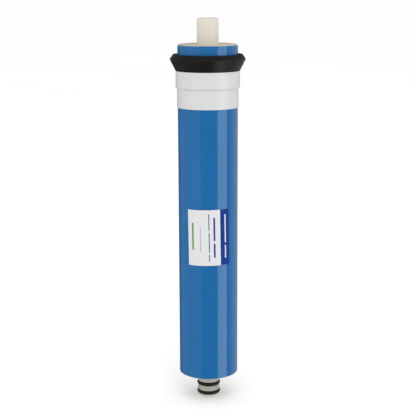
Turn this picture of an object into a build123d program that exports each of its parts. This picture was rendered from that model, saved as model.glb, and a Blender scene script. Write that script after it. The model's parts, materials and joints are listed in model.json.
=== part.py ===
from build123d import *
from math import degrees
import os

# Spiral-wound reverse osmosis element of the domestic 1.8 by 12 inch size, in millimetres.
# It stands on its product end: the origin is the centre of the tube's foot, +Z runs along the
# tube to the feed end, and the label faces -Y.

# Product tube
overall_length = 298.0
tube_diameter = 16.8
tube_bore = 10.0
plain_end_diameter = 16.4
product_end_reach = 20.6
feed_end_reach = 19.4
plain_end_shoulder = 0.2
plain_end_round = 1.1
nose_chamfer = 1.2
bore_chamfer = 0.5

# Drain holes, drilled right through the tube under the roll
drain_hole_diameter = 2.5
drain_hole_pitch = 36.0
drain_hole_margin = 20.0

# Plug that closes the tube's feed end
plug_depth = 12.0
plug_ledge = 0.6
plug_recess = 0.4
plug_chamfer = 0.5

# O-rings and their glands
o_ring_section = 2.6
o_ring_stand_out = 0.75
o_ring_pitch = 7.1
lower_o_ring_height = 3.35
gland_side_room = 0.3

# Wound roll: carrier, membrane, spacer and membrane again, from the inside out
element_diameter = 45.9
wrap_wall = 0.4
wrap_setback = 0.9
roll_inset = 0.8
carrier_thickness = 0.4
membrane_thickness = 0.24
spacer_thickness = 0.88
layer_gap = 0.05
spacer_inset = 0.8
carrier_inset = 0.25
cover_minimum = 0.2

# Brine seal
seal_setback = 6.8
seal_height = 12.4
lip_stand_out = 5.8
lip_land = 0.4
lip_bevel_height = 3.4
crest_stand_out = 3.4
crest_width = 0.5
lip_draft = 0.6
groove_depth = 7.0
inner_leg_wall = 1.1
inner_leg_setback = 1.2
skirt_wall = 0.95
skirt_height = 12.0

# White band over the seal's skirt
band_wall = 0.45
band_grip = 15.1
band_bevel = 0.15

# Label
label_width = 33.7
label_height = 43.3
label_foot = 111.9
label_turn = 1.0
label_thickness = 0.12
label_glue = 0.1

# Clearance between surfaces that are wound, glued or pushed on one another
fit_gap = 0.05

# Radii and levels that follow from the sizes above
tube_radius = tube_diameter / 2
bore_radius = tube_bore / 2
wrap_radius = element_diameter / 2
core_radius = tube_radius + fit_gap
roll_radius = wrap_radius - wrap_wall - fit_gap
roll_bottom = product_end_reach + roll_inset
roll_top = overall_length - feed_end_reach
wrap_top = roll_top - wrap_setback
seal_top = wrap_top - seal_setback
band_top = seal_top - seal_height
seal_bore_radius = wrap_radius + fit_gap
skirt_radius = seal_bore_radius + skirt_wall
band_radius = skirt_radius + fit_gap + band_wall
plug_seat = overall_length - plug_recess - plug_depth
plug_seat_radius = bore_radius + plug_ledge
o_ring_heights = {
    "o_ring_lower": lower_o_ring_height,
    "o_ring_upper": lower_o_ring_height + o_ring_pitch,
}

# Offsets of each layer from the inner face of its turn
leaf_inside = carrier_thickness + layer_gap
spacer_inside = leaf_inside + membrane_thickness + layer_gap
spacer_outside = spacer_inside + spacer_thickness
leaf_outside = spacer_outside + layer_gap + membrane_thickness
winding_pitch = leaf_outside + layer_gap
winding_turns = int((roll_radius - core_radius - cover_minimum) / winding_pitch) - 1
half_turns = 2 * winding_turns


def turned(corners):
    """Revolve an outline about Z, whose corners are (radius, height) or (radius, height, rounding)."""
    points = [corner[:2] for corner in corners]
    rounds = [corner[2] if len(corner) > 2 else 0 for corner in corners]
    outline = FilletPolyline(*points, radius=rounds, close=True)
    return revolve(Plane.XZ * make_face(outline), Axis.Z)


def ring(outer_radius, inner_radius, bottom, top):
    """Plain round sleeve between two heights."""
    section = Circle(outer_radius) - Circle(inner_radius)
    return Pos(0, 0, bottom) * extrude(section, amount=top - bottom)


def product_tube():
    """Core tube with a chamfered nose, two O-ring glands, a turned plain end and drain holes."""
    plain_end_start = roll_top + plain_end_shoulder
    corners = [
        (bore_radius + bore_chamfer, 0),
        (tube_radius - nose_chamfer, 0),
        (tube_radius, nose_chamfer),
        (tube_radius, plain_end_start),
        (plain_end_diameter / 2, plain_end_start),
        (plain_end_diameter / 2, overall_length, plain_end_round),
        (plug_seat_radius, overall_length),
        (plug_seat_radius, plug_seat),
        (bore_radius, plug_seat),
        (bore_radius, bore_chamfer),
    ]
    tube = turned(corners)
    for height in o_ring_heights.values():
        tube -= gland_cut(height)
    for hole in drain_holes():
        tube -= hole
    return tube


def gland_cut(height):
    """Groove for one O-ring, centred on the given height."""
    half_width = o_ring_section / 2 + gland_side_room
    floor_radius = tube_radius + o_ring_stand_out - o_ring_section - fit_gap
    return ring(tube_radius + o_ring_section, floor_radius, height - half_width, height + half_width)


def drain_holes():
    """Cross drillings along the roll, each turned a quarter from the one below."""
    lowest = roll_bottom + drain_hole_margin
    count = int((roll_top - drain_hole_margin - lowest) / drain_hole_pitch) + 1
    drill = Rot(0, 90, 0) * Cylinder(drain_hole_diameter / 2, 2 * tube_diameter)
    holes = []
    for number in range(count):
        holes.append(Pos(0, 0, lowest + number * drain_hole_pitch) * Rot(0, 0, 90 * (number % 2)) * drill)
    return holes


def tube_plug():
    """Round plug that seats on the ledge inside the tube's feed end."""
    radius = plug_seat_radius - fit_gap
    top = plug_seat + plug_depth
    corners = [
        (0, plug_seat),
        (radius - plug_chamfer, plug_seat),
        (radius, plug_seat + plug_chamfer),
        (radius, top),
        (0, top),
    ]
    return turned(corners)


def o_ring(height):
    """O-ring stretched into its gland."""
    centre_radius = tube_radius + o_ring_stand_out - o_ring_section / 2
    return Pos(0, 0, height) * Torus(centre_radius, o_ring_section / 2)


def spiral(offset, first, last):
    """Half-turn arcs of the winding, whose two centres lie a half pitch apart so that it grows evenly."""
    arcs = []
    for number in range(first, last):
        side = number % 2
        centre = (winding_pitch * (2 * side - 1) / 4, 0)
        radius = core_radius + winding_pitch * (2 * number + 1) / 4 + offset
        arcs.append(CenterArc(centre, radius, 180 * side, 180))
    return arcs


def wound_sheet(inside, outside, first, last):
    """Section of one wound sheet between two offsets, from one half turn to another."""
    inner_arcs = spiral(inside, first, last)
    outer_arcs = spiral(outside, first, last)
    start = Line(inner_arcs[0] @ 0, outer_arcs[0] @ 0)
    end = Line(inner_arcs[-1] @ 1, outer_arcs[-1] @ 1)
    return make_face([*inner_arcs, *outer_arcs, start, end])


def one_turn(offset, first):
    """Area inside one whole turn of the winding, closed by the step where the turn ends."""
    arcs = spiral(offset, first, first + 2)
    return make_face([*arcs, Line(arcs[-1] @ 1, arcs[0] @ 0)])


def strip(inside, outside, depth, turns):
    """Rectangle just before the start line of the given turn, between two offsets."""
    start = core_radius + turns * winding_pitch
    width = outside - inside
    return Pos(start + inside + width / 2, -depth / 2) * Rectangle(width, depth)


def end_room():
    """Clearance that ends the envelope just short of the spacer's last lap."""
    return strip(-layer_gap, winding_pitch, layer_gap, winding_turns)


def stacked(section, inset):
    """Extrude a section of the roll over the roll's length, short of both ends by the inset."""
    return Pos(0, 0, roll_bottom + inset) * extrude(section, amount=roll_top - roll_bottom - 2 * inset)


def membrane_leaf():
    """Membrane sheet folded round the spacer's inner edge and wound up with it."""
    inner_face = wound_sheet(leaf_inside, leaf_inside + membrane_thickness, 0, half_turns)
    outer_face = wound_sheet(leaf_outside - membrane_thickness, leaf_outside, 0, half_turns)
    fold = strip(leaf_inside, leaf_outside, layer_gap + membrane_thickness, 0)
    fold -= strip(leaf_inside + membrane_thickness, leaf_outside - membrane_thickness, layer_gap, 0)
    return stacked(inner_face + outer_face + fold - end_room(), 0)


def feed_spacer():
    """Spacer net between the membrane's faces, which ends in a last lap that rounds off the roll."""
    sheet = wound_sheet(spacer_inside, spacer_outside, 0, half_turns)
    cover = Circle(roll_radius) - one_turn(winding_pitch, half_turns - 2)
    return stacked(sheet + cover, spacer_inset)


def permeate_carrier():
    """Carrier cloth that starts with a lap round the tube and ends inside the membrane's envelope."""
    core_lap = one_turn(carrier_thickness, 0) - Circle(core_radius)
    core_lap -= strip(carrier_thickness, winding_pitch, membrane_thickness + 2 * layer_gap, 0)
    sheet = wound_sheet(0, carrier_thickness, 2, half_turns)
    return stacked(core_lap + sheet - end_room(), carrier_inset)


def outer_wrap():
    """Film wound round the roll."""
    return ring(wrap_radius, wrap_radius - wrap_wall, product_end_reach, wrap_top)


def brine_seal():
    """Rubber cup seal: a skirt under the band, a flared lip, a groove open to the feed and an inner leg."""
    ledge = band_top + fit_gap
    lip_radius = wrap_radius + lip_stand_out
    lip_top = seal_top - lip_bevel_height
    crest_radius = wrap_radius + crest_stand_out
    groove_outside = crest_radius - crest_width
    groove_floor = seal_top - groove_depth
    leg_radius = seal_bore_radius + inner_leg_wall
    leg_top = seal_top - inner_leg_setback
    skirt_foot = band_top - skirt_height
    corners = [
        (seal_bore_radius, skirt_foot),
        (skirt_radius, skirt_foot),
        (skirt_radius, ledge),
        (band_radius, ledge),
        (lip_radius, lip_top - lip_land),
        (lip_radius, lip_top),
        (crest_radius, seal_top),
        (groove_outside, seal_top),
        (groove_outside - lip_draft, groove_floor),
        (leg_radius, groove_floor),
        (leg_radius, leg_top),
        (seal_bore_radius, leg_top),
    ]
    return turned(corners)


def seal_band():
    """Thin stepped band that grips the wrap below and the seal's skirt above."""
    grip_inside = wrap_radius + fit_gap
    grip_outside = grip_inside + band_wall
    step_inside = band_top - skirt_height - fit_gap
    step_outside = step_inside - band_wall
    foot = step_outside - band_grip
    corners = [
        (grip_inside, foot),
        (grip_outside, foot),
        (grip_outside, step_outside),
        (band_radius - band_bevel, step_outside),
        (band_radius, step_outside + band_bevel),
        (band_radius, band_top),
        (band_radius - band_wall, band_top),
        (band_radius - band_wall, step_inside),
        (grip_inside, step_inside),
    ]
    return turned(corners)


def label():
    """Paper label stuck round the front of the wrap."""
    inside = wrap_radius + label_glue
    outside = inside + label_thickness
    sweep = degrees(label_width / outside)
    start = label_turn - 90 - sweep / 2
    inner_arc = CenterArc((0, 0), inside, start, sweep)
    outer_arc = CenterArc((0, 0), outside, start, sweep)
    sides = [Line(inner_arc @ 0, outer_arc @ 0), Line(inner_arc @ 1, outer_arc @ 1)]
    section = make_face([inner_arc, outer_arc, *sides])
    return Pos(0, 0, label_foot) * extrude(section, amount=label_height)


pieces = {
    "product_tube": product_tube(),
    "tube_plug": tube_plug(),
    "membrane_leaf": membrane_leaf(),
    "feed_spacer": feed_spacer(),
    "permeate_carrier": permeate_carrier(),
    "outer_wrap": outer_wrap(),
    "brine_seal": brine_seal(),
    "seal_band": seal_band(),
    "label": label(),
}
for ring_name, ring_height in o_ring_heights.items():
    pieces[ring_name] = o_ring(ring_height)

os.makedirs("parts", exist_ok=True)
for piece_name, shape in pieces.items():
    export_step(shape, f"parts/{piece_name}.step")
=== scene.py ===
"""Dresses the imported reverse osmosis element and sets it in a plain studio, seen from its label side.

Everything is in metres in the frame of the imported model: the origin is the centre of the tube's foot, +Z runs
along the tube and the label faces -Y. Angles about the tube are measured from the label side towards +X.
"""

import json
import logging
import math
from dataclasses import dataclass
from enum import Enum
from typing import Any, Callable, Sequence

import bmesh
import bpy
from mathutils import Matrix, Vector

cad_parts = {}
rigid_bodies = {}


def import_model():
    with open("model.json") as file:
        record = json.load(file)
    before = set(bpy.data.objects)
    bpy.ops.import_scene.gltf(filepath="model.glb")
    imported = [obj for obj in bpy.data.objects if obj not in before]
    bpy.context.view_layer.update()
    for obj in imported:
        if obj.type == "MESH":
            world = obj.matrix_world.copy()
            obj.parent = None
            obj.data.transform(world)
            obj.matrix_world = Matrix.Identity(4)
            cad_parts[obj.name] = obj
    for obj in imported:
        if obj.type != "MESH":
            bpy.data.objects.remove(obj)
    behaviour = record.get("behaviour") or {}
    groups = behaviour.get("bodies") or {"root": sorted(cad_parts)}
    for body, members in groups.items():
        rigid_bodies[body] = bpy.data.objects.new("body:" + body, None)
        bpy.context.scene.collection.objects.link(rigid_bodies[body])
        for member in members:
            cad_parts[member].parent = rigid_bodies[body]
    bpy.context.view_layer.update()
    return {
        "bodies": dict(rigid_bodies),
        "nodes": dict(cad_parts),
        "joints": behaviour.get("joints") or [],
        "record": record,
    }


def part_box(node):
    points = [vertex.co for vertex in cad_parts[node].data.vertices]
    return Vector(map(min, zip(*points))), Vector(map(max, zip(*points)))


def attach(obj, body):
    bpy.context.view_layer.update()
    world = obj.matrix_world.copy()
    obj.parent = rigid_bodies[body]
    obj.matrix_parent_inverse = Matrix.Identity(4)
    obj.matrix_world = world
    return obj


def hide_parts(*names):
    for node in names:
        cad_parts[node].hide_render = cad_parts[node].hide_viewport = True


MM = 0.001
DEGREES_IN_TURN = 360.0
BODY = "root"
SHARP_ANGLE = math.radians(40.0)
LARGE_FACE_WEIGHT = 100
NOISE_ROUGHNESS = 0.55

Colour = tuple[float, float, float]
Stretch = tuple[float, float, float]
Outline = list[tuple[float, float]]
Shift = Callable[[float, float, float], float]
Socket = bpy.types.NodeSocket

log = logging.getLogger("membrane_element")


class Node(Enum):
    """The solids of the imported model."""

    TUBE = "product_tube"
    PLUG = "tube_plug"
    LOWER_RING = "o_ring_lower"
    UPPER_RING = "o_ring_upper"
    LEAF = "membrane_leaf"
    SPACER = "feed_spacer"
    CARRIER = "permeate_carrier"
    WRAP = "outer_wrap"
    SEAL = "brine_seal"
    BAND = "seal_band"
    LABEL = "label"


class Slot(Enum):
    """Names of the record's material slots, one for each kind of new piece."""

    SPACER = "spacer_net"
    WRAP = "wrap_film"
    SEAL = "seal_rubber"
    BAND = "band_plastic"
    LABEL = "label_paper"


class PrintField(Enum):
    """The plain fields of colour on the label, in the order of its materials."""

    PAPER = 0
    EDGE = 1
    DARK_RULE = 2
    GREY_RULE = 3
    GREEN_RULE = 4


class NodeGraph:
    """Adds and joins shader nodes in one node tree."""

    def __init__(self, tree: bpy.types.NodeTree) -> None:
        """Start with an empty tree."""
        tree.nodes.clear()
        self.tree = tree

    def add(self, kind: str, inputs: dict[Any, Any] | None = None, **settings: Any) -> bpy.types.Node:
        """Add one node.

        Args:
            kind: The node's type name.
            inputs: Socket names or numbers, each with a constant or with another node's output.
            settings: The node's own properties.

        Returns:
            The new node.
        """
        node = self.tree.nodes.new(kind)
        for name, value in settings.items():
            setattr(node, name, value)
        for socket, value in (inputs or {}).items():
            if isinstance(value, Socket):
                self.tree.links.new(value, node.inputs[socket])
            else:
                node.inputs[socket].default_value = value
        return node

    def place(self, stretch: Stretch = (1.0, 1.0, 1.0)) -> Socket:
        """Give the point on the object, in metres, scaled along X, Y and Z."""
        point = self.add("ShaderNodeTexCoord").outputs["Object"]
        return self.add("ShaderNodeMapping", {"Vector": point, "Scale": stretch}).outputs["Vector"]

    def parts(self, vector: Socket) -> bpy.types.NodeOutputs:
        """Split a vector into the outputs X, Y and Z."""
        return self.add("ShaderNodeSeparateXYZ", {"Vector": vector}).outputs

    def upward(self) -> Socket:
        """Give how far the surface faces up, from -1 to 1."""
        return self.parts(self.add("ShaderNodeNewGeometry").outputs["Normal"])["Z"]

    def bearing(self, parts: bpy.types.NodeOutputs) -> Socket:
        """Give the angle about the tube of a point or a direction, from the label side towards +X."""
        return self.math("ARCTAN2", parts["X"], self.math("MULTIPLY", parts["Y"], -1.0))

    def noise(self, place: Socket, size: float, detail: float = 3.0) -> Socket:
        """Give noise from 0 to 1, with largest features of a size in metres and a number of finer layers."""
        inputs = {"Vector": place, "Scale": 1.0 / size, "Detail": detail, "Roughness": NOISE_ROUGHNESS}
        return self.add("ShaderNodeTexNoise", inputs).outputs["Fac"]

    def ramp(self, factor: Socket, stops: Sequence[tuple[float, Colour]]) -> Socket:
        """Turn a number into a colour.

        Args:
            factor: The number, from 0 to 1.
            stops: Places and colours in rising order, at least two.

        Returns:
            The output that carries the colour.
        """
        node = self.add("ShaderNodeValToRGB", {"Fac": factor})
        elements = node.color_ramp.elements
        while len(elements) < len(stops):
            elements.new(1.0)
        for element, (position, colour) in zip(elements, stops):
            element.position = position
            element.color = (*colour, 1.0)
        return node.outputs["Color"]

    def span(self, value: Socket, start: float, end: float, low: float, high: float) -> Socket:
        """Map the numbers from start to end to those from low to high, smoothly and held at both ends."""
        inputs = {"Value": value, "From Min": start, "From Max": end, "To Min": low, "To Max": high}
        return self.add("ShaderNodeMapRange", inputs, interpolation_type="SMOOTHSTEP").outputs["Result"]

    def math(self, operation: str, *values: Any) -> Socket:
        """Add one step of arithmetic and give its result."""
        return self.add("ShaderNodeMath", dict(enumerate(values)), operation=operation).outputs[0]

    def weighted(self, first: Socket, share: float, second: Socket) -> Socket:
        """Add the share of one number to what the share leaves of another."""
        rest = self.math("MULTIPLY", second, 1.0 - share)
        return self.math("ADD", self.math("MULTIPLY", first, share), rest)

    def blend(self, factor: Any, first: Any, second: Any) -> Socket:
        """Mix two colours and give the result, by the numbers of the mix node's colour sockets."""
        node = self.add("ShaderNodeMix", {0: factor, 6: first, 7: second}, data_type="RGBA")
        return node.outputs[2]


@dataclass(frozen=True)
class Patches:
    """Soft patches of noise, whose middle values are spread over a range of results.

    Attributes:
        size: Width of the largest patches.
        start: Noise that gives the first result.
        end: Noise that gives the last result.
        detail: Number of finer layers.
        stretch: Factors on the place along X, Y and Z.
    """

    size: float
    start: float
    end: float
    detail: float = 3.0
    stretch: Stretch = (1.0, 1.0, 1.0)

    def spread(self, graph: NodeGraph, low: float, high: float) -> Socket:
        """Give a number from low to high for each place on the object."""
        noise = graph.noise(graph.place(self.stretch), self.size, self.detail)
        return graph.span(noise, self.start, self.end, low, high)


@dataclass(frozen=True)
class Finish:
    """A surface with mottled colour, uneven gloss and a fine grain, which the other finishes add to."""

    name: str
    light: Colour
    dark: Colour
    mottle_size: float = 6.0 * MM
    gloss_scale: float = 2.5
    smoothest: float = 0.35
    roughest: float = 0.45
    grain_size: float = 0.4 * MM
    grain_height: float = 0.01 * MM
    specular: float = 0.5

    def material(self) -> bpy.types.Material:
        """Make the finish as a node material.

        Returns:
            The new material.
        """
        material = bpy.data.materials.new(self.name)
        material.use_nodes = True
        graph = NodeGraph(material.node_tree)
        shader = graph.add(
            "ShaderNodeBsdfPrincipled",
            {
                "Base Color": self.colour(graph),
                "Roughness": self.gloss(graph),
                "Normal": self.relief(graph),
                "Specular IOR Level": self.specular,
            },
        )
        graph.add("ShaderNodeOutputMaterial", {"Surface": shader.outputs["BSDF"]})
        return material

    def colour(self, graph: NodeGraph) -> Socket:
        """Mottle the two colours of the finish and give the result."""
        mottle = Patches(self.mottle_size, start=0.2, end=0.8, detail=4.0).spread(graph, low=0.0, high=1.0)
        return graph.blend(mottle, (*self.dark, 1.0), (*self.light, 1.0))

    def gloss(self, graph: NodeGraph) -> Socket:
        """Vary the roughness in patches wider than those of colour and give the result."""
        patches = Patches(self.gloss_scale * self.mottle_size, start=0.3, end=0.7, detail=2.0)
        return patches.spread(graph, self.smoothest, self.roughest)

    def height(self, graph: NodeGraph) -> Socket:
        """Give the height of the fine grain, from 0 to 1."""
        return graph.noise(graph.place(), self.grain_size)

    def relief(self, graph: NodeGraph) -> Socket:
        """Turn the height of the grain into a bumped normal and give it."""
        bump = graph.add("ShaderNodeBump", {"Height": self.height(graph), "Distance": self.grain_height})
        return bump.outputs["Normal"]


@dataclass(frozen=True)
class FilmFinish(Finish):
    """Glossy wound film, with slow waves, faint lines round it, paler cut edges and a paler line up its last
    edge that is partly a painted highlight.
    """

    edge_low: float = 0.0
    edge_high: float = 1.0
    edge_width: float = 0.7 * MM
    edge_and_highlight_colour: Colour = (0.10, 0.25, 0.45)
    edge_patches: Patches = Patches(1.5 * MM, start=0.35, end=0.65)
    lap_angle: float = 0.0
    lap_width: float = math.radians(1.6)
    wave_stretch: Stretch = (1.0, 1.0, 0.35)
    wave_share: float = 0.9
    line_width: float = 1.2 * MM
    line_stretch: Stretch = (0.05, 0.05, 1.0)

    def colour(self, graph: NodeGraph) -> Socket:
        """Add the paler rims where the film was cut and the paler line of its last edge, which is partly wear
        and partly a painted highlight on the edge's step.

        Args:
            graph: The material's nodes.

        Returns:
            The output that carries the colour.
        """
        body = super().colour(graph)
        parts = graph.parts(graph.place())
        low = graph.span(parts["Z"], self.edge_low, self.edge_low + self.edge_width, 1.0, 0.0)
        high = graph.span(parts["Z"], self.edge_high - self.edge_width, self.edge_high, 0.0, 1.0)
        # The line up the last edge is partly paler wear and partly a painted highlight on its small step.
        apart = graph.math("ABSOLUTE", graph.math("SUBTRACT", graph.bearing(parts), self.lap_angle))
        lap = graph.span(apart, 0.0, self.lap_width, 1.0, 0.0)
        rim = graph.math("MAXIMUM", graph.math("MAXIMUM", low, high), lap)
        amount = graph.math("MULTIPLY", rim, self.edge_patches.spread(graph, low=0.15, high=0.55))
        return graph.blend(amount, body, (*self.edge_and_highlight_colour, 1.0))

    def height(self, graph: NodeGraph) -> Socket:
        """Lay the faint lines over the slow waves.

        Args:
            graph: The material's nodes.

        Returns:
            The output that carries the height, from 0 to 1.
        """
        waves = graph.noise(graph.place(self.wave_stretch), self.grain_size, detail=1.0)
        lines = graph.noise(graph.place(self.line_stretch), self.line_width, detail=2.0)
        return graph.weighted(waves, self.wave_share, lines)


@dataclass(frozen=True)
class RubberFinish(Finish):
    """Moulded rubber, with a pale bloom in patches and a duller face on what faces up."""

    bloom: Colour = (0.05, 0.05, 0.05)
    bloom_amount: float = 0.3
    bloom_patches: Patches = Patches(3.0 * MM, start=0.4, end=0.65)
    dulled: float = 0.3

    def colour(self, graph: NodeGraph) -> Socket:
        """Add the bloom to the mottled rubber.

        Args:
            graph: The material's nodes.

        Returns:
            The output that carries the colour.
        """
        body = super().colour(graph)
        facing_up = graph.span(graph.upward(), start=0.1, end=0.9, low=0.0, high=self.bloom_amount)
        amount = graph.math("MULTIPLY", facing_up, self.bloom_patches.spread(graph, low=0.2, high=1.0))
        return graph.blend(amount, body, (*self.bloom, 1.0))

    def gloss(self, graph: NodeGraph) -> Socket:
        """Dull what faces up and give the roughness."""
        extra = graph.span(graph.upward(), start=0.1, end=0.5, low=0.0, high=self.dulled)
        return graph.math("ADD", super().gloss(graph), extra)


@dataclass(frozen=True)
class TurnedFinish(Finish):
    """Moulded tube with turning marks round it, a grey tint on what faces up and painted shade on its spigot
    under the roll.
    """

    mark_width: float = 0.35 * MM
    mark_stretch: Stretch = (0.02, 0.02, 1.0)
    mark_share: float = 0.6
    upward_grey: Colour = (0.460, 0.445, 0.425)
    upward_grey_amount: float = 0.85
    # Colour of the painted shade on the spigot, where the roll above shades it.
    painted_shade: Colour = (0.235, 0.228, 0.190)
    # The painted shade is heaviest where it starts, fades up to the second height and stops at the third.
    shade_start: float = 2.6 * MM
    shade_fade_top: float = 16.0 * MM
    shade_end: float = 20.0 * MM
    shade_heavy: float = 0.9
    shade_faint: float = 0.5
    shade_patches: Patches = Patches(5.0 * MM, start=0.35, end=0.7, stretch=(1.0, 1.0, 2.5))

    def colour(self, graph: NodeGraph) -> Socket:
        """Grey what faces up and paint shade in patches on the spigot, under the roll.

        Args:
            graph: The material's nodes.

        Returns:
            The output that carries the colour.
        """
        facing_up = graph.span(graph.upward(), start=0.1, end=0.7, low=0.0, high=self.upward_grey_amount)
        body = graph.blend(facing_up, super().colour(graph), (*self.upward_grey, 1.0))
        rise = graph.parts(graph.place())["Z"]
        # Painted shade on the spigot under the roll, darkest low down and patchy.
        foot = graph.span(rise, self.shade_start, self.shade_fade_top, self.shade_heavy, self.shade_faint)
        above = graph.math("GREATER_THAN", rise, self.shade_start)
        spigot = graph.math("MULTIPLY", above, graph.math("LESS_THAN", rise, self.shade_end))
        patchy_shade = graph.math("MULTIPLY", foot, self.shade_patches.spread(graph, low=0.7, high=1.0))
        return graph.blend(graph.math("MULTIPLY", patchy_shade, spigot), body, (*self.painted_shade, 1.0))

    def height(self, graph: NodeGraph) -> Socket:
        """Give the turning marks with the grain over them, from 0 to 1."""
        marks = graph.noise(graph.place(self.mark_stretch), self.mark_width, detail=1.0)
        return graph.weighted(marks, self.mark_share, super().height(graph))


@dataclass(frozen=True)
class PaperFinish(Finish):
    """Coated paper, printed or plain, with fibres under the coating."""

    fibre_width: float = 1.6 * MM
    fibre_stretch: Stretch = (1.0, 1.0, 0.25)

    def height(self, graph: NodeGraph) -> Socket:
        """Give the fibres, from 0 to 1."""
        return graph.noise(graph.place(self.fibre_stretch), self.fibre_width, detail=4.0)


@dataclass(frozen=True)
class WeaveFinish(Finish):
    """Net or knitted cloth, with crossing ribs at an even pitch."""

    rib_pitch: float = 1.2 * MM
    rib_waver: float = 0.4

    def height(self, graph: NodeGraph) -> Socket:
        """Cross two sets of ribs.

        Args:
            graph: The material's nodes.

        Returns:
            The output that carries the height, from 0 to 1.
        """
        scale = 1.0 / (math.tau * self.rib_pitch)
        ribs = []
        for direction in (1.0, -1.0):
            place = graph.place((1.0, direction, 1.0))
            inputs = {"Vector": place, "Scale": scale, "Distortion": self.rib_waver}
            ribs.append(graph.add("ShaderNodeTexWave", inputs, bands_direction="DIAGONAL").outputs["Fac"])
        return graph.math("MAXIMUM", *ribs)


@dataclass(frozen=True)
class Corner:
    """A corner of a turned outline, with the radius of its rounding."""

    radius: float
    height: float
    rounding: float = 0.0


def rounded_outline(corners: Sequence[Corner], steps: int = 5) -> Outline:
    """Round the corners of a closed outline.

    Args:
        corners: The corners in order.
        steps: Number of straight runs in each rounding.

    Returns:
        Points of the outline as (radius, height).
    """
    points: Outline = []
    for number, corner in enumerate(corners):
        here = Vector((corner.radius, corner.height))
        if corner.rounding <= 0.0:
            points.append(tuple(here))
            continue
        before = corners[number - 1]
        after = corners[(number + 1) % len(corners)]
        back = (Vector((before.radius, before.height)) - here).normalized()
        ahead = (Vector((after.radius, after.height)) - here).normalized()
        half = back.angle(ahead) / 2.0
        centre = here + (back + ahead).normalized() * (corner.rounding / math.sin(half))
        reach = corner.rounding / math.tan(half)
        start = here + back * reach - centre
        end = here + ahead * reach - centre
        turn = start.angle_signed(end)
        for step in range(steps + 1):
            arm = Matrix.Rotation(-turn * step / steps, 2) @ start
            points.append(tuple(centre + arm))
    return points


@dataclass(frozen=True)
class Lap:
    """The line where a wound strip ends, a small step proud of the turn below.

    Attributes:
        angle: Where the strip's outer end lies.
        step: How far it stands proud.
        gap: Angle over which it steps down.
    """

    angle: float
    step: float
    gap: float = math.radians(0.3)

    def turn(self, columns: int) -> list[float]:
        """Give angles for a turn that starts and ends at the lap."""
        return [self.angle + (math.tau - self.gap) * number / columns for number in range(columns + 1)]

    def shrink(self, angle: float, depth: float) -> float:
        """Give what to add to the radius at an angle, at a depth from 0 inside to 1 outside the strip."""
        share = (angle - self.angle) / math.tau
        return -self.step * share * depth


def full_turn(columns: int) -> list[float]:
    """Give evenly spaced angles for one turn."""
    return [math.tau * number / columns for number in range(columns)]


def at_angle(angle: float, radius: float, height: float) -> Vector:
    """Give the point at an angle from the label side, a radius and a height."""
    return Vector((radius * math.sin(angle), -radius * math.cos(angle), height))


def make_object(name: str, mesh: bmesh.types.BMesh) -> bpy.types.Object:
    """Turn a mesh under construction into a shaded object in the scene.

    Args:
        name: The object's name.
        mesh: The finished mesh, which is freed.

    Returns:
        The new object.
    """
    bmesh.ops.recalc_face_normals(mesh, faces=mesh.faces)
    for face in mesh.faces:
        face.smooth = True
    data = bpy.data.meshes.new(name)
    mesh.to_mesh(data)
    mesh.free()
    data.set_sharp_from_angle(angle=SHARP_ANGLE)
    made = bpy.data.objects.new(name, data)
    bpy.context.scene.collection.objects.link(made)
    shading = made.modifiers.new("even_shading", "WEIGHTED_NORMAL")
    shading.weight = LARGE_FACE_WEIGHT
    shading.keep_sharp = True
    return made


def turned_piece(
    name: str, outline: Outline, angles: Sequence[float], shift: Shift | None = None
) -> bpy.types.Object:
    """Turn a closed outline about the tube's axis.

    Args:
        name: The object's name.
        outline: Points as (radius, height).
        angles: Where the outline is set up, in order round the axis.
        shift: What to add to the radius at an angle, radius and height.

    Returns:
        The new object.
    """
    mesh = bmesh.new()
    rings = []
    for angle in angles:
        column = []
        for radius, height in outline:
            extra = shift(angle, radius, height) if shift else 0.0
            column.append(mesh.verts.new(at_angle(angle, radius + extra, height)))
        rings.append(column)
    for number, column in enumerate(rings):
        following = rings[(number + 1) % len(rings)]
        for place in range(len(outline)):
            after = (place + 1) % len(outline)
            mesh.faces.new((column[place], following[place], following[after], column[after]))
    return make_object(name, mesh)


def dress(piece: bpy.types.Object, finishes: Sequence[Finish], slot: Slot, *nodes: Node) -> bpy.types.Object:
    """Give a new piece its finishes, its place on the body and the solids that it stands for.

    Args:
        piece: The piece, in place.
        finishes: One finish for each material index of the mesh.
        slot: Not used.
        nodes: The solids that the piece replaces.

    Returns:
        The piece.
    """
    for finish in finishes:
        piece.data.materials.append(finish.material())
    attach(piece, BODY)
    for node in nodes:
        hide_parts(node.value)
    return piece


def dress_node(frame: dict[str, Any], node: Node, finish: Finish) -> bpy.types.Object:
    """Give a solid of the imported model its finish.

    Args:
        node: The solid.
        finish: Its finish.

    Returns:
        The solid's object.
    """
    solid = frame["nodes"][node.value]
    solid.data.materials.clear()
    solid.data.materials.append(finish.material())
    return solid


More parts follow.
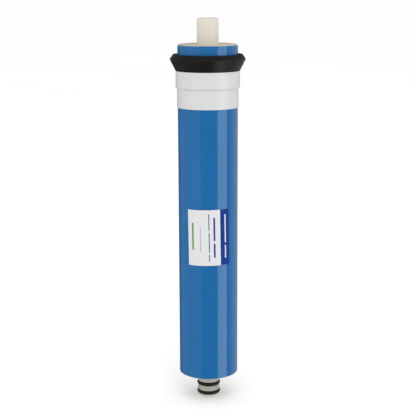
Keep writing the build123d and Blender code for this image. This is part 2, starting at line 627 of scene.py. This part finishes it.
@dataclass
class ProductTube:
    """The core tube with its plug and its two O-rings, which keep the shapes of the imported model."""

    plastic: Finish = TurnedFinish(
        "cream_tube_plastic",
        light=(0.606, 0.577, 0.492),
        dark=(0.571, 0.540, 0.456),
        mottle_size=8.0 * MM,
        smoothest=0.32,
        roughest=0.42,
        grain_height=0.006 * MM,
    )
    plug_plastic: Finish = Finish(
        "cream_plug_plastic",
        light=(0.500, 0.482, 0.450),
        dark=(0.450, 0.434, 0.406),
        mottle_size=4.0 * MM,
        smoothest=0.35,
        roughest=0.5,
    )
    rubber: Finish = RubberFinish(
        "black_o_ring_rubber",
        light=(0.008, 0.008, 0.0075),
        dark=(0.005, 0.005, 0.005),
        mottle_size=2.0 * MM,
        smoothest=0.28,
        roughest=0.4,
        grain_size=0.25 * MM,
        grain_height=0.006 * MM,
        specular=0.2,
        bloom_amount=0.06,
    )

    def dress(self, frame: dict[str, Any]) -> list[bpy.types.Object]:
        """Dress the tube, the plug and the rings.


        Returns:
            The dressed solids.
        """
        finishes = {
            Node.TUBE: self.plastic,
            Node.PLUG: self.plug_plastic,
            Node.LOWER_RING: self.rubber,
            Node.UPPER_RING: self.rubber,
        }
        return [dress_node(frame, node, finish) for node, finish in finishes.items()]


@dataclass
class WoundRoll:
    """The membrane, the spacer and the carrier cloth, whose edges show on the two ends of the roll."""

    membrane: Finish = Finish(
        "cream_membrane_sheet",
        light=(0.575, 0.548, 0.442),
        dark=(0.475, 0.449, 0.353),
        mottle_size=1.5 * MM,
        smoothest=0.5,
        roughest=0.65,
    )
    net: Finish = WeaveFinish(
        "natural_spacer_net",
        light=(0.42, 0.40, 0.34),
        dark=(0.20, 0.187, 0.15),
        mottle_size=0.9 * MM,
        smoothest=0.4,
        roughest=0.55,
        grain_height=0.25 * MM,
    )
    strand: Finish = Finish(
        "natural_net_strand",
        light=(0.56, 0.55, 0.47),
        dark=(0.46, 0.44, 0.37),
        mottle_size=0.8 * MM,
        smoothest=0.3,
        roughest=0.45,
    )
    cloth: Finish = WeaveFinish(
        "cream_carrier_cloth",
        light=(0.56, 0.53, 0.43),
        dark=(0.43, 0.40, 0.31),
        mottle_size=0.7 * MM,
        smoothest=0.7,
        roughest=0.85,
        grain_height=0.08 * MM,
        rib_pitch=0.5 * MM,
    )
    core_radius: float = 8.45 * MM
    pitch: float = 1.96 * MM
    half_turns: int = 12
    # Distance of the net's middle from the inner face of its turn.
    net_middle: float = 1.18 * MM
    strand_radius: float = 0.19 * MM
    strand_sides: int = 7
    # The strands stand in pairs that cross, each off the net's middle and, by a share of the spacing,
    # off its pair's place.
    strand_spacing: float = 2.1 * MM
    strand_offset: float = 0.22 * MM
    strand_stagger: float = 0.22
    strand_lean: float = 0.45 * MM
    # A strand's root lies inside the net, and its tip stays short of the membrane's edge.
    strand_depth: float = 0.3 * MM
    strand_short: float = 0.12 * MM
    # The tips are cut back by up to a share of their length, in a few levels that a stride scatters.
    strand_trim: float = 0.18
    trim_levels: int = 5
    trim_stride: int = 7
    # The last lap of the net is thicker, with rows of strands between its two faces.
    cover_clearance: float = 0.33 * MM
    cover_row: float = 0.75 * MM

    def dress(self, frame: dict[str, Any]) -> list[bpy.types.Object]:
        """Dress the three wound layers and give their solids."""
        finishes = {Node.LEAF: self.membrane, Node.SPACER: self.net, Node.CARRIER: self.cloth}
        return [dress_node(frame, node, finish) for node, finish in finishes.items()]

    def turn_radius(self, number: int) -> float:
        """Give the radius of the inner face of a half turn, counted from the core."""
        return self.core_radius + self.pitch * (2 * number + 1) / 4

    def on_turn(self, number: int, share: float, offset: float) -> tuple[Vector, Vector]:
        """Find a place on one half turn of the winding, whose two centres lie a half pitch apart.

        Args:
            number: The half turn, counted from the core.
            share: How far along it, from 0 to 1.
            offset: Distance outwards from the inner face of the turn.

        Returns:
            The place and the direction of the winding there, both level.
        """
        side = number % 2
        radius = self.turn_radius(number) + offset
        angle = math.pi * (side + share)
        outwards = Vector((math.cos(angle), math.sin(angle), 0.0))
        centre = Vector((self.pitch * (2 * side - 1) / 4, 0.0, 0.0))
        return centre + outwards * radius, Vector((-outwards.y, outwards.x, 0.0))

    def net_places(self) -> list[tuple[Vector, Vector]]:
        """Work out where the wound net's strands come to the end of the roll, in pairs that cross.

        Returns:
            Level places, each with the direction that its strand leans in.
        """
        places = []
        for number in range(self.half_turns):
            middle = self.turn_radius(number) + self.net_middle
            count = int(math.pi * middle / self.strand_spacing)
            for step in range(count):
                for lean in (1.0, -1.0):
                    share = (step + 0.5 + self.strand_stagger * lean) / count
                    place, along = self.on_turn(number, share, self.net_middle + lean * self.strand_offset)
                    places.append((place, along * lean))
        return places

    def cover_places(self) -> list[tuple[Vector, Vector]]:
        """Work out where the strands of the net's last lap end, in rows from its outside in.

        Returns:
            Level places, each with the direction that its strand leans in.
        """
        places = []
        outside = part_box(Node.SPACER.value)[1].x
        count = int(math.pi * outside / self.strand_spacing)
        for number in (self.half_turns - 2, self.half_turns - 1):
            for step in range(count):
                inner, along = self.on_turn(number, (step + 0.5) / count, self.pitch)
                lean = 1.0
                radius = outside - self.cover_clearance
                while radius - inner.length > self.cover_clearance:
                    place = inner.normalized() * radius + along * lean * self.strand_offset
                    places.append((place, along * lean))
                    radius -= self.cover_row
                    lean = -lean
        return places

    def add_strand(
        self, mesh: bmesh.types.BMesh, place: Vector, lean: Vector, root: float, tip: float
    ) -> None:
        """Add one closed strand end to a mesh.

        Args:
            mesh: The mesh under construction.
            place: The level place of the strand's middle.
            lean: The level direction that it leans in.
            root: Height of its hidden end.
            tip: Height of its cut end.
        """
        rings = []
        for height, way in ((root, -1.0), (tip, 1.0)):
            ring = []
            for angle in full_turn(self.strand_sides):
                arm = Vector((math.cos(angle), math.sin(angle), 0.0)) * self.strand_radius
                foot = place + lean * (way * self.strand_lean / 2) + arm
                ring.append(mesh.verts.new(foot + Vector((0.0, 0.0, height))))
            rings.append(ring)
        lower, upper = rings
        for side in range(self.strand_sides):
            after = (side + 1) % self.strand_sides
            mesh.faces.new((lower[side], lower[after], upper[after], upper[side]))
        mesh.faces.new(upper)
        mesh.faces.new(lower[::-1])

    def build(self) -> bpy.types.Object:
        """Build and dress the cut ends of the net's strands at both ends of the roll.

        Returns:
            The new piece.
        """
        net_low, net_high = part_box(Node.SPACER.value)
        roll_low, roll_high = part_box(Node.LEAF.value)
        ends = (
            (net_high.z - self.strand_depth, roll_high.z - self.strand_short),
            (net_low.z + self.strand_depth, roll_low.z + self.strand_short),
        )
        mesh = bmesh.new()
        for number, (place, lean) in enumerate(self.net_places() + self.cover_places()):
            level = (number * self.trim_stride % self.trim_levels) / (self.trim_levels - 1)
            for root, tip in ends:
                trim = (tip - root) * self.strand_trim * level
                self.add_strand(mesh, place, lean, root, tip - trim)
        return dress(make_object("net_strand_ends", mesh), [self.strand], Slot.SPACER)


@dataclass
class OuterWrap:
    """The blue film wound round the roll, whose last edge runs up the back."""

    wall: float = 0.4 * MM
    edge_round: float = 0.12 * MM
    lap: Lap = Lap(math.radians(152.0), step=0.14 * MM)
    columns: int = 288

    def build(self) -> bpy.types.Object:
        """Build and dress the film.

        Returns:
            The new piece.
        """
        low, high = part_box(Node.WRAP.value)
        outside = high.x
        inside = outside - self.wall
        corners = (
            Corner(inside, low.z),
            Corner(outside, low.z, self.edge_round),
            Corner(outside, high.z, self.edge_round),
            Corner(inside, high.z),
        )

        def wound(angle: float, radius: float, _height: float) -> float:
            """Let the outside step in over one turn, down to the film's first edge."""
            return self.lap.shrink(angle, (radius - inside) / self.wall)

        piece = turned_piece("film_wrap", rounded_outline(corners), self.lap.turn(self.columns), wound)
        return dress(piece, [self.film(low.z, high.z)], Slot.WRAP, Node.WRAP)

    def film(self, bottom: float, top: float) -> Finish:
        """Give the film's finish, with its paler rims at the two cut edges.

        Args:
            bottom: Height of the lower edge.
            top: Height of the upper edge.

        Returns:
            The finish.
        """
        return FilmFinish(
            "blue_wrap_film",
            light=(0.0070, 0.112, 0.305),
            dark=(0.0058, 0.102, 0.281),
            mottle_size=18.0 * MM,
            smoothest=0.07,
            roughest=0.10,
            grain_size=30.0 * MM,
            grain_height=0.03 * MM,
            edge_low=bottom,
            edge_high=top,
            lap_angle=self.lap.angle,
        )


@dataclass
class BrineSeal:
    """The rubber cup seal: a skirt under the band, a flared lip, and an inner leg across a groove."""

    fit_gap: float = 0.05 * MM
    skirt_wall: float = 0.95 * MM
    skirt_height: float = 12.0 * MM
    # The ledge lies a little above the band's top, and its width is measured from the seal's bore.
    ledge_rise: float = 0.05 * MM
    ledge_wall: float = 1.45 * MM
    # From the lip, a narrow land and a bevel lead up and in to the crest.
    bevel_height: float = 3.4 * MM
    lip_land: float = 0.4 * MM
    crest_inset: float = 2.4 * MM
    crest_width: float = 0.5 * MM
    # The groove's outer wall leans in by the draft, and the inner leg stays below the crest.
    lip_draft: float = 0.6 * MM
    groove_depth: float = 7.0 * MM
    leg_wall: float = 1.1 * MM
    leg_setback: float = 1.2 * MM
    lip_round: float = 0.35 * MM
    crest_round: float = 0.2 * MM
    groove_round: float = 0.45 * MM
    columns: int = 224
    rubber: Finish = RubberFinish(
        "black_seal_rubber",
        light=(0.0050, 0.0050, 0.0048),
        dark=(0.0036, 0.0036, 0.0036),
        mottle_size=5.0 * MM,
        smoothest=0.32,
        roughest=0.42,
        grain_size=0.3 * MM,
        grain_height=0.012 * MM,
        specular=0.22,
        bloom_amount=0.01,
        dulled=0.5,
    )

    def corners(self) -> list[Corner]:
        """Work out the seal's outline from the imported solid.

        Returns:
            The outline's corners.
        """
        low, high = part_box(Node.SEAL.value)
        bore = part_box(Node.WRAP.value)[1].x + self.fit_gap
        lip = high.x
        top = high.z
        skirt = bore + self.skirt_wall
        ledge = low.z + self.skirt_height + self.ledge_rise
        lip_top = top - self.bevel_height
        crest = lip - self.crest_inset
        groove = crest - self.crest_width
        groove_floor = top - self.groove_depth
        leg = bore + self.leg_wall
        leg_top = top - self.leg_setback
        return [
            Corner(bore, low.z),
            Corner(skirt, low.z),
            Corner(skirt, ledge),
            Corner(bore + self.ledge_wall, ledge),
            Corner(lip, lip_top - self.lip_land, self.lip_round / 2),
            Corner(lip, lip_top, self.lip_round / 2),
            Corner(crest, top, self.crest_round),
            Corner(groove, top, self.crest_round),
            Corner(groove - self.lip_draft, groove_floor, self.groove_round),
            Corner(leg, groove_floor, self.groove_round),
            Corner(leg, leg_top, self.crest_round),
            Corner(bore, leg_top),
        ]

    def build(self) -> bpy.types.Object:
        """Build and dress the seal and give the new piece."""
        piece = turned_piece("cup_seal", rounded_outline(self.corners()), full_turn(self.columns))
        return dress(piece, [self.rubber], Slot.SEAL, Node.SEAL)


@dataclass
class SealBand:
    """The thin white band that grips the wrap and, a step wider, the seal's skirt."""

    wall: float = 0.45 * MM
    fit_gap: float = 0.05 * MM
    # Height of the wider part, down from the band's top.
    step_height: float = 12.5 * MM
    edge_round: float = 0.14 * MM
    lap: Lap = Lap(math.radians(204.0), step=0.1 * MM)
    columns: int = 256
    plastic: Finish = Finish(
        "white_band_plastic",
        light=(0.544, 0.549, 0.551),
        dark=(0.526, 0.531, 0.533),
        mottle_size=9.0 * MM,
        smoothest=0.26,
        roughest=0.36,
        grain_size=0.6 * MM,
        grain_height=0.004 * MM,
    )

    def build(self) -> bpy.types.Object:
        """Build and dress the band.

        Returns:
            The new piece.
        """
        low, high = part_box(Node.BAND.value)
        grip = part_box(Node.WRAP.value)[1].x + self.fit_gap
        wide = high.x
        step = high.z - self.step_height
        corners = (
            Corner(grip, low.z),
            Corner(grip + self.wall, low.z, self.edge_round),
            Corner(grip + self.wall, step, self.edge_round / 2),
            Corner(wide, step, self.edge_round),
            Corner(wide, high.z, self.edge_round),
            Corner(wide - self.wall, high.z),
            Corner(wide - self.wall, step + self.wall),
            Corner(grip, step + self.wall),
        )

        def wound(angle: float, radius: float, height: float) -> float:
            """Let the outside step in over one turn, down to the band's first edge."""
            inside = grip if height < step + self.wall / 2 else wide - self.wall
            return self.lap.shrink(angle, max(0.0, min(1.0, (radius - inside) / self.wall)))

        piece = turned_piece("grip_band", rounded_outline(corners), self.lap.turn(self.columns), wound)
        return dress(piece, [self.plastic], Slot.BAND, Node.BAND)


@dataclass(frozen=True)
class Rule:
    """A row of plain bars along the label's height.

    Attributes:
        centre: Distance of the row from the label's left edge.
        width: Width of the bars.
        spans: Start and end of each bar, from the label's top.
        field: The bars' colour.
    """

    centre: float
    width: float
    spans: tuple[tuple[float, float], ...]
    field: PrintField


def millimetre_spans(*ends: float) -> tuple[tuple[float, float], ...]:
    """Pair up starts and ends given in millimetres."""
    return tuple((start * MM, end * MM) for start, end in zip(ends[::2], ends[1::2]))


@dataclass
class Label:
    """The paper label round the front of the wrap: a white field, a dark edge and plain ruled bars."""

    # How far the label is turned from the front and set off level.
    turn: float = math.radians(1.0)
    tilt: float = math.radians(1.0)
    width: float = 33.7 * MM
    # Gap between the label's back and the wrap.
    lift: float = 0.02 * MM
    # Distance of the dark edge from the label's left edge.
    edge_start: float = 26.0 * MM
    widest_column: float = 1.1 * MM
    tallest_row: float = 3.0 * MM
    rules: tuple[Rule, ...] = (
        Rule(30.2 * MM, 1.1 * MM, millimetre_spans(4.0, 26.0, 28.0, 38.0), PrintField.PAPER),
        Rule(21.2 * MM, 1.4 * MM, millimetre_spans(6.0, 24.0, 26.0, 37.0), PrintField.DARK_RULE),
        Rule(17.1 * MM, 0.7 * MM, millimetre_spans(3.0, 16.0, 17.5, 33.0, 34.5, 40.0), PrintField.DARK_RULE),
        Rule(10.4 * MM, 0.6 * MM, millimetre_spans(12.0, 32.0), PrintField.GREY_RULE),
        Rule(4.2 * MM, 1.4 * MM, millimetre_spans(10.0, 31.0), PrintField.GREEN_RULE),
    )

    def inks(self) -> list[Finish]:
        """Give the paper and the inks in the order of the print fields.

        Returns:
            The finishes.
        """
        tones = {
            PrintField.PAPER: ((0.596, 0.600, 0.605), (0.575, 0.578, 0.584)),
            PrintField.EDGE: ((0.0050, 0.032, 0.214), (0.0045, 0.029, 0.200)),
            PrintField.DARK_RULE: ((0.030, 0.042, 0.22), (0.026, 0.036, 0.20)),
            PrintField.GREY_RULE: ((0.33, 0.33, 0.34), (0.29, 0.29, 0.30)),
            PrintField.GREEN_RULE: ((0.09, 0.26, 0.05), (0.08, 0.23, 0.045)),
        }
        return [
            PaperFinish(
                f"label_{name.name.lower()}",
                light=light,
                dark=dark,
                mottle_size=3.0 * MM,
                smoothest=0.55,
                roughest=0.68,
                grain_height=0.004 * MM,
                specular=0.12,
            )
            for name, (light, dark) in tones.items()
        ]

    def field_at(self, across: float, down: float) -> PrintField:
        """Find the field of colour at a place on the label.

        Args:
            across: Distance from the left edge.
            down: Distance from the top.

        Returns:
            The field there.
        """
        for rule in self.rules:
            if abs(across - rule.centre) < rule.width / 2:
                if any(start < down < end for start, end in rule.spans):
                    return rule.field
        return PrintField.EDGE if across > self.edge_start else PrintField.PAPER

    @staticmethod
    def cuts(marks: set[float], widest: float) -> list[float]:
        """Divide a length at its marks and then into pieces no longer than widest.

        Args:
            marks: Places that need a cut, the two ends among them.
            widest: Greatest distance between cuts.

        Returns:
            The cuts in rising order.
        """
        ordered = sorted(marks)
        cuts = [ordered[0]]
        for start, end in zip(ordered, ordered[1:]):
            parts = max(1, math.ceil((end - start) / widest))
            cuts.extend(start + (end - start) * part / parts for part in range(1, parts + 1))
        return cuts

    def grid(self, tall: float) -> tuple[list[float], list[float]]:
        """Cut the label up so that each bar has edges of its own in the mesh.

        Args:
            tall: The label's height.

        Returns:
            The cuts across from the left edge and the cuts down from the top.
        """
        across = {0.0, self.width, self.edge_start}
        down = {0.0, tall}
        for rule in self.rules:
            across |= {rule.centre - rule.width / 2, rule.centre + rule.width / 2}
            down |= {end for span in rule.spans for end in span}
        return self.cuts(across, self.widest_column), self.cuts(down, self.tallest_row)

    def lay_out(
        self, mesh: bmesh.types.BMesh, columns: list[float], rows: list[float], radius: float
    ) -> list[list[bmesh.types.BMVert]]:
        """Add the vertices of one face of the label.

        Args:
            mesh: The mesh under construction.
            columns: Cuts across from the left edge.
            rows: Cuts down from the top.
            radius: Distance of the face from the tube's axis.

        Returns:
            The vertices of each column, from the top down.
        """
        low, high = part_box(Node.LABEL.value)
        outside = -low.y
        middle = (low.z + high.z) / 2
        half_height = (high.z - low.z) / 2
        layer = []
        for place in columns:
            column = []
            for drop in rows:
                spot = Matrix.Rotation(self.tilt, 2) @ Vector((place - self.width / 2, half_height - drop))
                angle = self.turn + spot.x / outside
                column.append(mesh.verts.new(at_angle(angle, radius, middle + spot.y)))
            layer.append(column)
        return layer

    def build(self) -> bpy.types.Object:
        """Build and dress the label.

        Returns:
            The new piece.
        """
        low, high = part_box(Node.LABEL.value)
        columns, rows = self.grid(high.z - low.z)
        mesh = bmesh.new()
        front = self.lay_out(mesh, columns, rows, -low.y)
        back = self.lay_out(mesh, columns, rows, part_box(Node.WRAP.value)[1].x + self.lift)
        last_column = len(columns) - 1
        last_row = len(rows) - 1
        for column in range(last_column):
            for row in range(last_row):
                corners = ((column, row), (column, row + 1), (column + 1, row + 1), (column + 1, row))
                face = mesh.faces.new([front[i][j] for i, j in corners])
                across = (columns[column] + columns[column + 1]) / 2
                down = (rows[row] + rows[row + 1]) / 2
                face.material_index = self.field_at(across, down).value
                mesh.faces.new([back[i][j] for i, j in reversed(corners)])
        rim = [(i, 0) for i in range(last_column)] + [(last_column, j) for j in range(last_row)]
        rim += [(i, last_row) for i in range(last_column, 0, -1)] + [(0, j) for j in range(last_row, 0, -1)]
        for (i, j), (k, m) in zip(rim, rim[1:] + rim[:1]):
            mesh.faces.new((front[i][j], front[k][m], back[k][m], back[i][j]))
        return dress(make_object("paper_label", mesh), self.inks(), Slot.LABEL, Node.LABEL)


@dataclass(frozen=True)
class Lamp:
    """A square soft lamp that the camera doesn't see.

    Attributes:
        name: The lamp's name.
        place: Where it hangs.
        aim: The point that it faces.
        side: Length of its sides.
        power: Its power in watts.
    """

    name: str
    place: tuple[float, float, float]
    aim: tuple[float, float, float]
    side: float
    power: float

    def hang(self) -> None:
        """Put the lamp into the scene."""
        light = bpy.data.lights.new(self.name, "AREA")
        light.shape = "SQUARE"
        light.size = self.side
        light.energy = self.power
        lamp = bpy.data.objects.new(self.name, light)
        towards = Vector(self.aim) - Vector(self.place)
        turn = towards.to_track_quat("-Z", "Y").to_matrix().to_4x4()
        lamp.matrix_world = Matrix.Translation(self.place) @ turn
        lamp.visible_camera = False
        bpy.context.scene.collection.objects.link(lamp)


@dataclass
class Studio:
    """A plain pale floor under an even dome of light, with soft panels that show as reflections."""

    image_side: float = 416.0
    focal_pixels: float = 1064.7
    sensor_mm: float = 36.0
    camera_place: tuple[float, float, float] = (-0.00015, -0.8102, 0.3186)
    camera_pitch: float = math.radians(11.6)
    camera_roll: float = math.radians(-0.18)
    floor_radius: float = 40.0
    floor_sides: int = 64
    floor_albedo: float = 0.96
    # Darkest patches of the floor, as a share of its albedo.
    floor_shade: float = 0.985
    floor_mottle: float = 0.6
    # Strength of the light from the skyline and from overhead.
    skyline: float = 1.5
    zenith: float = 0.8
    # The panels stand below this Z of a direction.
    horizon: float = -0.03
    # Strength that white stands for on their ring.
    panel_gain: float = 3.0
    # Degrees about the tube from the label side, each with the strength of the light from there.
    panels: tuple[tuple[float, float], ...] = (
        (-180.0, 0.10),
        (-140.0, 0.10),
        (-118.0, 0.41),
        (-31.0, 0.54),
        (-26.0, 0.19),
        (36.0, 0.19),
        (38.5, 2.15),
        (70.0, 2.2),
        (74.5, 2.8),
        (77.5, 0.33),
        (92.0, 0.36),
        (104.0, 0.64),
        (135.0, 0.62),
        (165.0, 0.30),
        (180.0, 0.10),
    )
    lamps: tuple[Lamp, ...] = (
        Lamp("key", place=(0.12, -1.3, 1.35), aim=(0.0, 0.0, 0.15), side=1.2, power=7.0),
        Lamp("overhead", place=(0.16, -0.56, 1.65), aim=(0.0, 0.0, 0.27), side=0.3, power=0.9),
    )

    def build(self) -> None:
        """Set up the camera, the floor and the light."""
        bpy.context.scene.view_settings.view_transform = "Standard"
        self.set_camera()
        self.lay_floor()
        self.light_dome()
        for lamp in self.lamps:
            lamp.hang()

    def set_camera(self) -> None:
        """Put the camera where the picture is taken from."""
        lens = bpy.data.cameras.new("camera")
        lens.sensor_width = self.sensor_mm
        lens.lens = self.focal_pixels / self.image_side * self.sensor_mm
        lens.clip_end = 2.0 * self.floor_radius
        camera = bpy.data.objects.new("camera", lens)
        tilt = Matrix.Rotation(math.pi / 2.0 - self.camera_pitch, 4, "X")
        roll = Matrix.Rotation(self.camera_roll, 4, "Z")
        camera.matrix_world = Matrix.Translation(self.camera_place) @ tilt @ roll
        bpy.context.scene.collection.objects.link(camera)
        bpy.context.scene.camera = camera

    def lay_floor(self) -> None:
        """Lay a wide round floor, matt and nearly white, which doesn't show in reflections."""
        mesh = bmesh.new()
        bmesh.ops.create_circle(mesh, cap_ends=True, segments=self.floor_sides, radius=self.floor_radius)
        floor = make_object("floor", mesh)
        finish = Finish(
            "pale_floor",
            light=(self.floor_albedo,) * 3,
            dark=(self.floor_shade * self.floor_albedo,) * 3,
            mottle_size=self.floor_mottle,
            smoothest=0.9,
            roughest=0.95,
            specular=0.0,
        )
        floor.data.materials.append(finish.material())
        floor.visible_glossy = False

    def light_dome(self) -> None:
        """Light the scene from a bright skyline up, with upright panels for the reflections below it."""
        world = bpy.data.worlds.new("studio")
        world.use_nodes = True
        bpy.context.scene.world = world
        graph = NodeGraph(world.node_tree)
        parts = graph.parts(graph.add("ShaderNodeTexCoord").outputs["Generated"])
        # The ring of panels runs from 0 to 1 on the ramp, with the label side at its middle.
        front = 0.5
        turn = graph.math("MULTIPLY_ADD", graph.bearing(parts), 1.0 / math.tau, front)
        stops = [
            (angle / DEGREES_IN_TURN + front, (strength / self.panel_gain,) * 3)
            for angle, strength in self.panels
        ]
        ring = graph.math("MULTIPLY", graph.ramp(turn, stops), self.panel_gain)
        sky = graph.math("MULTIPLY_ADD", parts["Z"], self.zenith - self.skyline, self.skyline)
        below = graph.math("LESS_THAN", parts["Z"], self.horizon)
        extra = graph.math("MULTIPLY", below, graph.math("SUBTRACT", ring, sky))
        white = (1.0, 1.0, 1.0, 1.0)
        dome = graph.add("ShaderNodeBackground", {"Color": white, "Strength": graph.math("ADD", extra, sky)})
        graph.add("ShaderNodeOutputWorld", {"Surface": dome.outputs["Background"]})


def main() -> None:
    """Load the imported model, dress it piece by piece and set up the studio."""
    logging.basicConfig(level=logging.INFO, format="%(name)s: %(message)s")
    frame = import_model()
    roll = WoundRoll()
    pieces = [*ProductTube().dress(frame), *roll.dress(frame)]
    pieces += [assembly.build() for assembly in (roll, OuterWrap(), BrineSeal(), SealBand(), Label())]
    for piece in pieces:
        log.info("%s: %d faces, %s", piece.name, len(piece.data.polygons), piece.data.materials[0].name)
    Studio().build()


if __name__ == "__main__":
    main()
